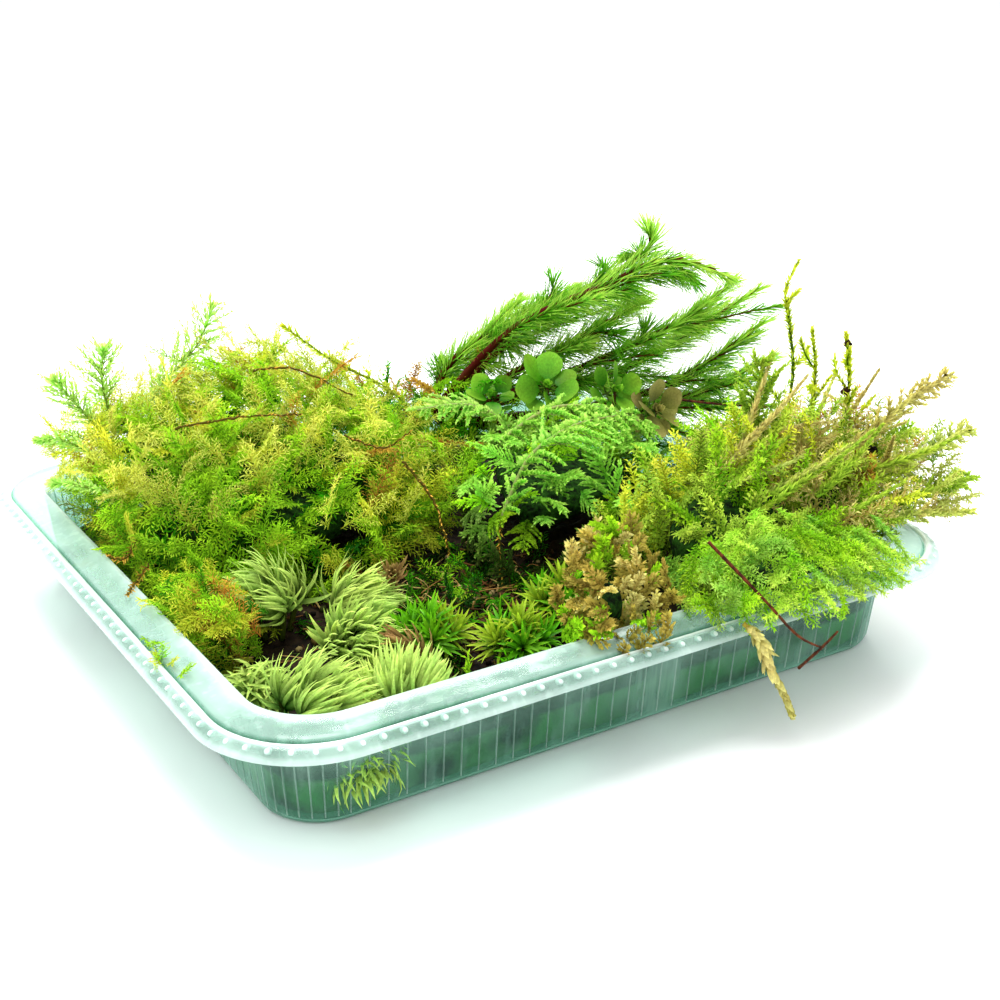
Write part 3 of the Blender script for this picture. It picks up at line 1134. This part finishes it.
OLD_STEMS = (
    ([(-52, 20, 44), (-40, 14, 46), (-28, 12, 45)], 0.30),
    ([(-12, -2, 36), (-8, -8, 28), (-7, -12, 18)], 0.32),
    ([(-66, 8, 27), (-70, 4, 25.5), (-74, 1, 28)], 0.22),
    ([(-66, 2, 24), (-71, -4, 23.5), (-74, -9, 24)], 0.20),
    ([(-30, 30, 50), (-22, 26, 50), (-12, 20, 44)], 0.26),
    ([(-20, 8, 40), (-14, 2, 38), (-10, -2, 42)], 0.22),
    ([(1, -20, 27), (-0.5, -21, 19), (0.5, -21.5, 10.2)], 0.30),
)
DARK_LUMPS = (
    ((71.3, -42, 58), 1.0), ((72.5, -41.5, 47), 1.6), ((82.5, -59.5, 53.5), 1.0), ((62, -50, 33), 2.2), ((70, -53, 38), 1.6),
)

PALE_GRIT = ((-49.0, -62.4, 15.2), (-21.0, -62.6, 10.8), (22.0, -62.6, 10.8))


# The masses of moss

def moss_masses(materials):
    """Every large mass as leafy pieces over a dark core."""
    dome = {"heart": (-28, 26, 8), "outward": 1.0, "wander": 0.75, "lean": (-0.1, -0.1, 0.15),
            "scale": (0.65, 1.15), "depth": 0.8, "curl": -0.5, "proud": 1.0, "dim": (5, 27),
            "keep": lambda p: p[:, 2] > 15 * MM}
    pieces = (
        ("feather_moss_dome_outer", "feather_moss_dome", FEATHER, 240, dome,
         (GOLD_GREEN, LEAF_GREEN, RUSTY), (5, 7, 0.4), 1, "fine", "feather_moss"),
        ("feather_moss_dome_middle", "feather_moss_dome", INNER, 150, {**dome, "depth": 1.1, "proud": -2.0},
         (LEAF_GREEN, DEEP_GREEN, SHADE_GREEN), (3, 5, 1), 2, "fine", "feather_moss"),
        ("feather_moss_dome_crown", "feather_moss_dome", FEATHER, 130,
         {**dome, "outward": 0.6, "wander": 0.8, "lean": (-0.1, 0.0, 0.7), "depth": 0.72, "proud": 2.0,
          "scale": (0.5, 0.95), "keep": lambda p: p[:, 2] > 34 * MM},
         (CROWN_GOLD, LEAF_GREEN, RUSTY), (8, 3, 0.6), 9, "fine", "feather_moss"),
        ("feather_moss_dome_strays", "feather_moss_dome", LACE, 80,
         {**dome, "outward": 0.8, "wander": 1.0, "lean": (-0.2, 0.0, 0.5), "depth": 0.7, "proud": 5.5,
          "scale": (0.6, 0.95), "curl": 0.2, "keep": lambda p: (p[:, 2] > 26 * MM) & (p[:, 0] > -50 * MM)},
         (CROWN_GOLD, LEAF_GREEN, RUSTY), (6, 4, 1), 10, "fine", "feather_moss"),
        ("left_edge_moss_leafy", "left_edge_moss", FEATHER, 56,
         {"heart": (-60, -18, 10), "wander": 1.1, "scale": (0.5, 0.9), "proud": 1.0, "lean": (-0.5, -0.2, 0.3),
          "dim": (8, 26), "keep": lambda p: p[:, 2] > 15 * MM},
         (GOLD_GREEN, LEAF_GREEN, DEEP_GREEN, RUSTY), (5, 3, 2, 1), 3, "fine", "feather_moss"),
        ("centre_frond_moss_leafy", "centre_frond_moss", STAIR, 140,
         {"heart": (27, 6, 8), "wander": 0.8, "scale": (0.55, 0.95), "depth": 0.75, "lean": (-0.1, -0.2, 0.2),
          "proud": 1.0, "dim": (16, 29), "keep": lambda p: p[:, 2] > 14 * MM},
         (FROND_GREEN, LEAF_GREEN, FROND_PALE), (6, 3, 0.7), 4, "frond", "frond_moss"),
        ("right_moss_mat_green", "right_moss_mat", PINNATE, 160,
         {"heart": (46, -42, 4), "wander": 0.65, "scale": (0.7, 1.15), "depth": 0.75, "lean": (0.15, -0.1, 0.55),
          "proud": 1.5, "dim": (8, 27), "keep": lambda p: (p[:, 2] > 16 * MM) & (p[:, 0] > 15 * MM)},
         (MAT_GREEN, LEAF_GREEN, GOLD_GREEN), (6, 2, 2), 5, "coarse", "mat_moss"),
        ("right_moss_mat_straw", "right_moss_mat", COARSE, 90,
         {"heart": (40, -42, 4), "wander": 0.9, "scale": (0.6, 1.0), "depth": 0.75, "lean": (0.3, 0.0, 0.3),
          "keep": lambda p: (p[:, 2] > 20 * MM) & (p[:, 0] > 48 * MM)},
         (MAT_STRAW, MAT_GREEN, RUSTY), (5, 2, 1), 6, "dry", "mat_moss"),
        ("front_overhang_moss_leafy", "front_overhang_moss", FRINGE, 100,
         {"heart": (30, -64, 26), "wander": 0.8, "scale": (0.5, 0.8), "depth": 0.7, "lean": (0.1, -0.4, -0.15),
          "floor": 23.4},
         (RIM_GREEN, SPRIG_GREEN, LEAF_GREEN), (4, 3, 3), 7, "frond", "frond_moss"),
        ("tan_dried_moss_leafy", "tan_dried_moss", CRUMPLED, 110,
         {"heart": (-3, -62, 18), "wander": 1.1, "scale": (0.35, 0.65), "depth": 1.0, "curl": 0.3, "proud": -1.0,
          "keep": lambda p: p[:, 2] > 18 * MM},
         (TAN, MAT_STRAW, LEAF_GREEN), (7, 2, 1.2), 8, "dry", "tan_moss"),
    )
    for name, node, spec, count, settings, palettes, shares, seed, kind, slot in pieces:
        growth = grow_over(node, spec, count, settings, palettes, shares, seed)
        growth.build(name, materials[kind], slot, [node])
    cores = (("feather_moss_dome", 0.78, 0.62), ("left_edge_moss", 0.65, 0.70), ("centre_frond_moss", 0.80, 0.70),
             ("right_moss_mat", 0.80, 0.62), ("front_overhang_moss", 0.55, 0.50), ("tan_dried_moss", 0.40, 0.50))
    for node, shrink, sink in cores:
        dark_core(node, node + "_core", materials["core"], shrink, sink)


def soil_height(places):
    """How high the soil stands at x and y places, with its low mound."""
    far = np.linalg.norm(places - np.array(MOUND_PLACE), axis=1)
    return SOIL_TOP + MOUND_HEIGHT * np.exp(-(far / MOUND_RADIUS) ** 4)


def litter(materials):
    """Crumbs, grit, fibres and low dark moss on the soil and behind the clear wall."""
    rng = np.random.default_rng(SEED + 400)
    growth = Growth()
    middle = np.array((-10.0, -26.0)) * MM
    around = middle + rng.normal(0, 1, (1600, 2)) * np.array((16.0, 14.0)) * MM
    around = around[(np.abs(around[:, 0]) < 64 * MM) & (np.abs(around[:, 1]) < 60 * MM)]
    height = soil_height(around) + 0.3 * MM
    places = np.column_stack([around, height + rng.uniform(0, 0.6, len(around)) * MM])
    sizes = rng.uniform(0.25, 1.0, len(places)) ** 2 * 1.3 * MM
    scatter_crumbs(growth, places, sizes, SOIL_TINTS, rng)
    growth.build("soil_crumbs", materials["crumb"], "soil")

    fibres = Growth()
    fibre_tints = [linear(code) for code in ("3A2410", "5A3C1C", "8A6A34", "B49A5C", "2C3A10", "506018")]
    for place in middle + rng.normal(0, 1, (480, 2)) * np.array((20.0, 14.0)) * MM:
        if abs(place[0]) > 64 * MM or abs(place[1]) > 60 * MM:
            continue
        start = np.array((*place, soil_height(place[None])[0] + rng.uniform(0.3, 2.5) * MM))
        heading = unit(rng.normal(0, 1, 3) * (1, 1, 0.35))
        bow = rng.normal(0, 1, 3) * (1, 1, 0.3) * 1.2 * MM
        s = np.linspace(0, 1, 6)[:, None]
        path = start + heading * s * rng.uniform(2.0, 7.0) * MM + bow * s * (1 - s) * 4
        add_stem(fibres, path, rng.uniform(0.10, 0.28) * MM, 0.08 * MM, fibre_tints[rng.integers(6)], 4)
    fibres.build("soil_fibres", materials["crumb"], "soil")

    low_moss = Growth()
    kinds = [Template(TUFTLET, rng) for _ in range(3)]
    count = 90
    root = np.column_stack([middle + rng.normal(0, 1, (count, 2)) * np.array((17.0, 13.0)) * MM, np.zeros(count)])
    root[:, 2] = soil_height(root[:, :2]) + 0.5 * MM
    stem = unit(rng.normal(0, 1, (count, 3)) * (1, 1, 0.3) + (0, 0, 0.7))
    low, high = mixed_tints((DEEP_GREEN, SHADE_GREEN, LEAF_GREEN), (4, 4, 1), count, rng)
    for number, template in enumerate(kinds):
        mine = np.arange(number, count, len(kinds))
        face = np.broadcast_to(UP, stem[mine].shape) + 0.4 * rng.normal(0, 1, stem[mine].shape)
        template.copy_to(low_moss, root[mine], stem[mine], face, np.full(len(mine), 1.0),
                         rng.normal(-0.4, 0.4, len(mine)), low[mine], high[mine])
    low_moss.build("low_dark_moss", materials["fine"], "soil")


def small_fronds(name, spec, places, headings, palettes, shares, scale, seed, material, slot):
    """Small fronds at given places, as one piece."""
    rng = np.random.default_rng(SEED + seed)
    growth = Growth()
    places = np.array(places, float) * MM
    count = len(places)
    stem = unit(np.array(headings, float) + 0.35 * rng.normal(0, 1, (count, 3)))
    low, high = mixed_tints(palettes, shares, count, rng)
    kinds = [Template(spec, rng) for _ in range(3)]
    for number, template in enumerate(kinds):
        mine = np.arange(number, count, len(kinds))
        face = np.broadcast_to(UP, stem[mine].shape) + 0.5 * rng.normal(0, 1, stem[mine].shape)
        sizes = scale * rng.uniform(0.7, 1.2, len(mine))
        template.copy_to(growth, places[mine], stem[mine], face, sizes, rng.normal(-0.3, 0.5, len(mine)),
                         low[mine], high[mine])
    growth.build(name, material, slot)


def long_shoots(material):
    """Slim leafy shoots that lie over the right mat and turn up at their ends."""
    rng = np.random.default_rng(SEED + 520)
    growth = Growth()
    for number in range(26):
        start = np.array((rng.uniform(34, 74), rng.uniform(-62, -34), 0.0))
        start[2] = rng.uniform(26, 34) + 4.0 * math.cos((start[1] + 46) / 12)
        heading = unit(np.array((0.80, -0.40, 0.30)) + 0.40 * rng.normal(0, 1, 3))
        steps = np.linspace(0, rng.uniform(15, 24), 5)[:, None]
        rise = np.outer((steps[:, 0] / 20) ** 2 * rng.uniform(1.5, 6.0), UP)
        path = smooth_path(start + heading * steps + rise, 30)
        palette = (SHOOT_GOLD, MAT_STRAW, MAT_GREEN)[number % 3]
        add_stem(growth, path, 0.26 * MM, 0.12 * MM, linear("7A6A20"), 4)
        spec = {"leaf": 2.6 * MM, "width": 0.34 * MM, "angle": 0.62, "bend": 0.2, "jitter": 0.6}
        leaves_on_path(growth, path, TINY_LEAF, 260, spec, palette, rng, 0.0, 1.0)
    growth.build("mat_long_shoots", material, "mat_moss")


def loose_bits(materials):
    """Low moss along the clear wall, bits in the left groove, and old stems in the masses."""
    rng = np.random.default_rng(SEED + 500)
    front = [(x, rng.uniform(-60, -56), 10.0) for x in rng.uniform(-50, 56, 70)]
    right = [(rng.uniform(57, 61), y, 10.0) for y in rng.uniform(-50, 20, 40)]
    headings = [(0.0, -0.35, 0.9)] * len(front) + [(0.35, 0.0, 0.9)] * len(right)
    small_fronds("wall_edge_moss", TUFTLET, front + right, headings, (LEAF_GREEN, DEEP_GREEN, RUSTY), (4, 4, 1),
                 0.95, 501, materials["fine"], "frond_moss")
    groove = [(-76.2 + rng.uniform(-0.5, 0.5), y, 21.8) for y in rng.uniform(-46, -18, 7)]
    small_fronds("groove_bits", TUFTLET, groove, [(0.1, -0.6, 0.25)] * len(groove), (GOLD_GREEN, LEAF_GREEN),
                 (2, 1), 0.65, 502, materials["fine"], "feather_moss")
    behind = [(x, 46 + rng.uniform(-6, 8), 16 + rng.uniform(0, 14)) for x in rng.uniform(8, 34, 44)]
    small_fronds("haircap_foot_moss", FRINGE, behind, [(0.0, -0.3, 0.9)] * len(behind),
                 (DEEP_GREEN, LEAF_GREEN, RUSTY), (5, 2, 2), 0.95, 503, materials["fine"], "haircap_moss")
    fringe = [(rng.uniform(70, 80), rng.uniform(-66, -36), rng.uniform(25, 38)) for _ in range(44)]
    small_fronds("right_fringe_moss", COARSE, fringe, [(0.75, -0.1, 0.45)] * len(fringe),
                 (MAT_STRAW, SHOOT_GOLD, MAT_GREEN, RUSTY), (4, 3, 3, 1), 0.62, 504, materials["dry"], "mat_moss")
    growth = Growth()
    for number, (route, thick) in enumerate(OLD_STEMS):
        rng = np.random.default_rng(SEED + 510 + number)
        path = smooth_path(route, 26) + rng.normal(0, 0.12, (26, 3)) * MM
        add_stem(growth, path, thick * MM, thick * 0.6 * MM, linear("4E4410"), 6, 0.12, rng)
        spec = {"leaf": 1.6 * MM, "width": 0.14 * MM, "angle": 0.8, "bend": -0.3, "jitter": 0.6}
        leaves_on_path(growth, path, NEEDLE, 50, spec, RUSTY, rng, 0.05, 1.0)
    growth.build("old_stems", materials["crumb"], "feather_moss")
    lumps = Growth()
    places = np.array([place for place, _ in DARK_LUMPS]) * MM
    sizes = np.array([size for _, size in DARK_LUMPS]) * MM
    around = np.repeat(places, 7, 0) + rng.normal(0, 1, (7 * len(places), 3)) * np.repeat(sizes, 7)[:, None] * 0.3
    scatter_crumbs(lumps, around, np.repeat(sizes, 7) * rng.uniform(0.3, 0.8, len(around)), SOIL_TINTS[:4], rng)
    lumps.build("dark_lumps", materials["crumb"], "mat_moss")
    grit = Growth()
    places = np.array(PALE_GRIT) * MM
    scatter_crumbs(grit, places, np.full(len(places), 1.7) * MM, ("C4A878", "A48C5C"), rng)
    grit.build("pale_grit", materials["crumb"], "soil")


def make_stage():
    """A pale floor, soft lights and the camera at the photo's view."""
    bpy.ops.mesh.primitive_plane_add(size=12.0)
    floor = bpy.context.object
    floor.name = "pale_floor"
    material, nodes, links, shader, _ = new_material("floor_white")
    shader.inputs["Base Color"].default_value = (0.80, 0.805, 0.815, 1.0)
    shader.inputs["Roughness"].default_value = 0.6
    floor.data.materials.append(material)

    world = bpy.data.worlds.new("white_room")
    world.use_nodes = True
    world.node_tree.nodes["Background"].inputs["Color"].default_value = (0.97, 0.985, 1.0, 1.0)
    world.node_tree.nodes["Background"].inputs["Strength"].default_value = 1.27
    bpy.context.scene.world = world

    lights = (
        ("overhead", (-0.05, 0.08, 0.75), 0.4, 6.0, (1.0, 0.99, 0.97)),
        ("behind", (0.30, 0.45, 0.42), 0.4, 4.0, (1.0, 1.0, 0.97)),
        ("left", (-0.55, 0.00, 0.40), 0.4, 0.8, (1.0, 1.0, 1.0)),
    )
    target = np.array((0.0, 0.0, 0.025))
    for name, place, size, energy, tint in lights:
        data = bpy.data.lights.new(name, "AREA")
        data.shape = "DISK"
        data.size = size
        data.energy = energy
        data.color = tint
        lamp = bpy.data.objects.new(name, data)
        lamp.location = place
        towards = unit(target - np.array(place))
        pitch = math.acos(-towards[2])
        lamp.rotation_euler = (pitch, 0.0, math.atan2(-towards[0], towards[1]))
        bpy.context.scene.collection.objects.link(lamp)

    camera = bpy.data.cameras.new("camera")
    camera.lens = CAMERA_LENS
    camera.sensor_width = 36.0
    camera.clip_start = 0.01
    camera.clip_end = 50.0
    viewer = bpy.data.objects.new("camera", camera)
    viewer.location = CAMERA_PLACE
    viewer.rotation_euler = (math.pi / 2 - CAMERA_PITCH, 0.0, CAMERA_AZIMUTH)
    bpy.context.scene.collection.objects.link(viewer)
    bpy.context.scene.camera = viewer
    bpy.context.scene.view_settings.view_transform = "Standard"


def main():
    make_stage()
    materials = {
        "fine": leaf_material("feather_moss_leaf", 0.60, 0.42, 0.08),
        "frond": leaf_material("frond_moss_leaf", 0.55, 0.40, 0.10),
        "coarse": leaf_material("mat_moss_leaf", 0.60, 0.38, 0.08),
        "dry": leaf_material("dry_moss_leaf", 0.75, 0.25, 0.06),
        "pale": leaf_material("pale_moss_leaf", 0.50, 0.38, 0.05),
        "star": leaf_material("star_moss_leaf", 0.45, 0.35, 0.14),
        "haircap": leaf_material("haircap_moss_leaf", 0.50, 0.42, 0.10),
        "round": leaf_material("round_leaf_blade", 0.40, 0.42, 0.12),
        "crumb": leaf_material("soil_crumb", 0.80, 0.0, 0.08),
        "core": grainy_material("shaded_moss", linear("061404"), linear("24500A"), 700.0, 0.9, 0.0015),
        "soil": grainy_material("damp_soil", linear("080503"), linear("2E2012"), 420.0, 0.85, 0.0012,
                                linear("C0E88C")),
        "bark": grainy_material("twig_bark", linear("2E140A"), linear("6E3618"), 900.0, 0.7, 0.0004),
        "plastic": plastic_material(),
    }
    pressed_tray(materials["plastic"])
    tray_ribs_and_beads(materials["plastic"])
    soil_bed(materials["soil"])
    litter(materials)
    moss_masses(materials)
    haircap_shoots(materials["haircap"])
    single_shoots(materials)
    pale_tufts(materials["pale"])
    star_tufts(materials["star"])
    round_leaf_rosettes(materials)
    bare_twigs(materials["bark"])
    long_shoots(materials["coarse"])
    loose_bits(materials)


main()
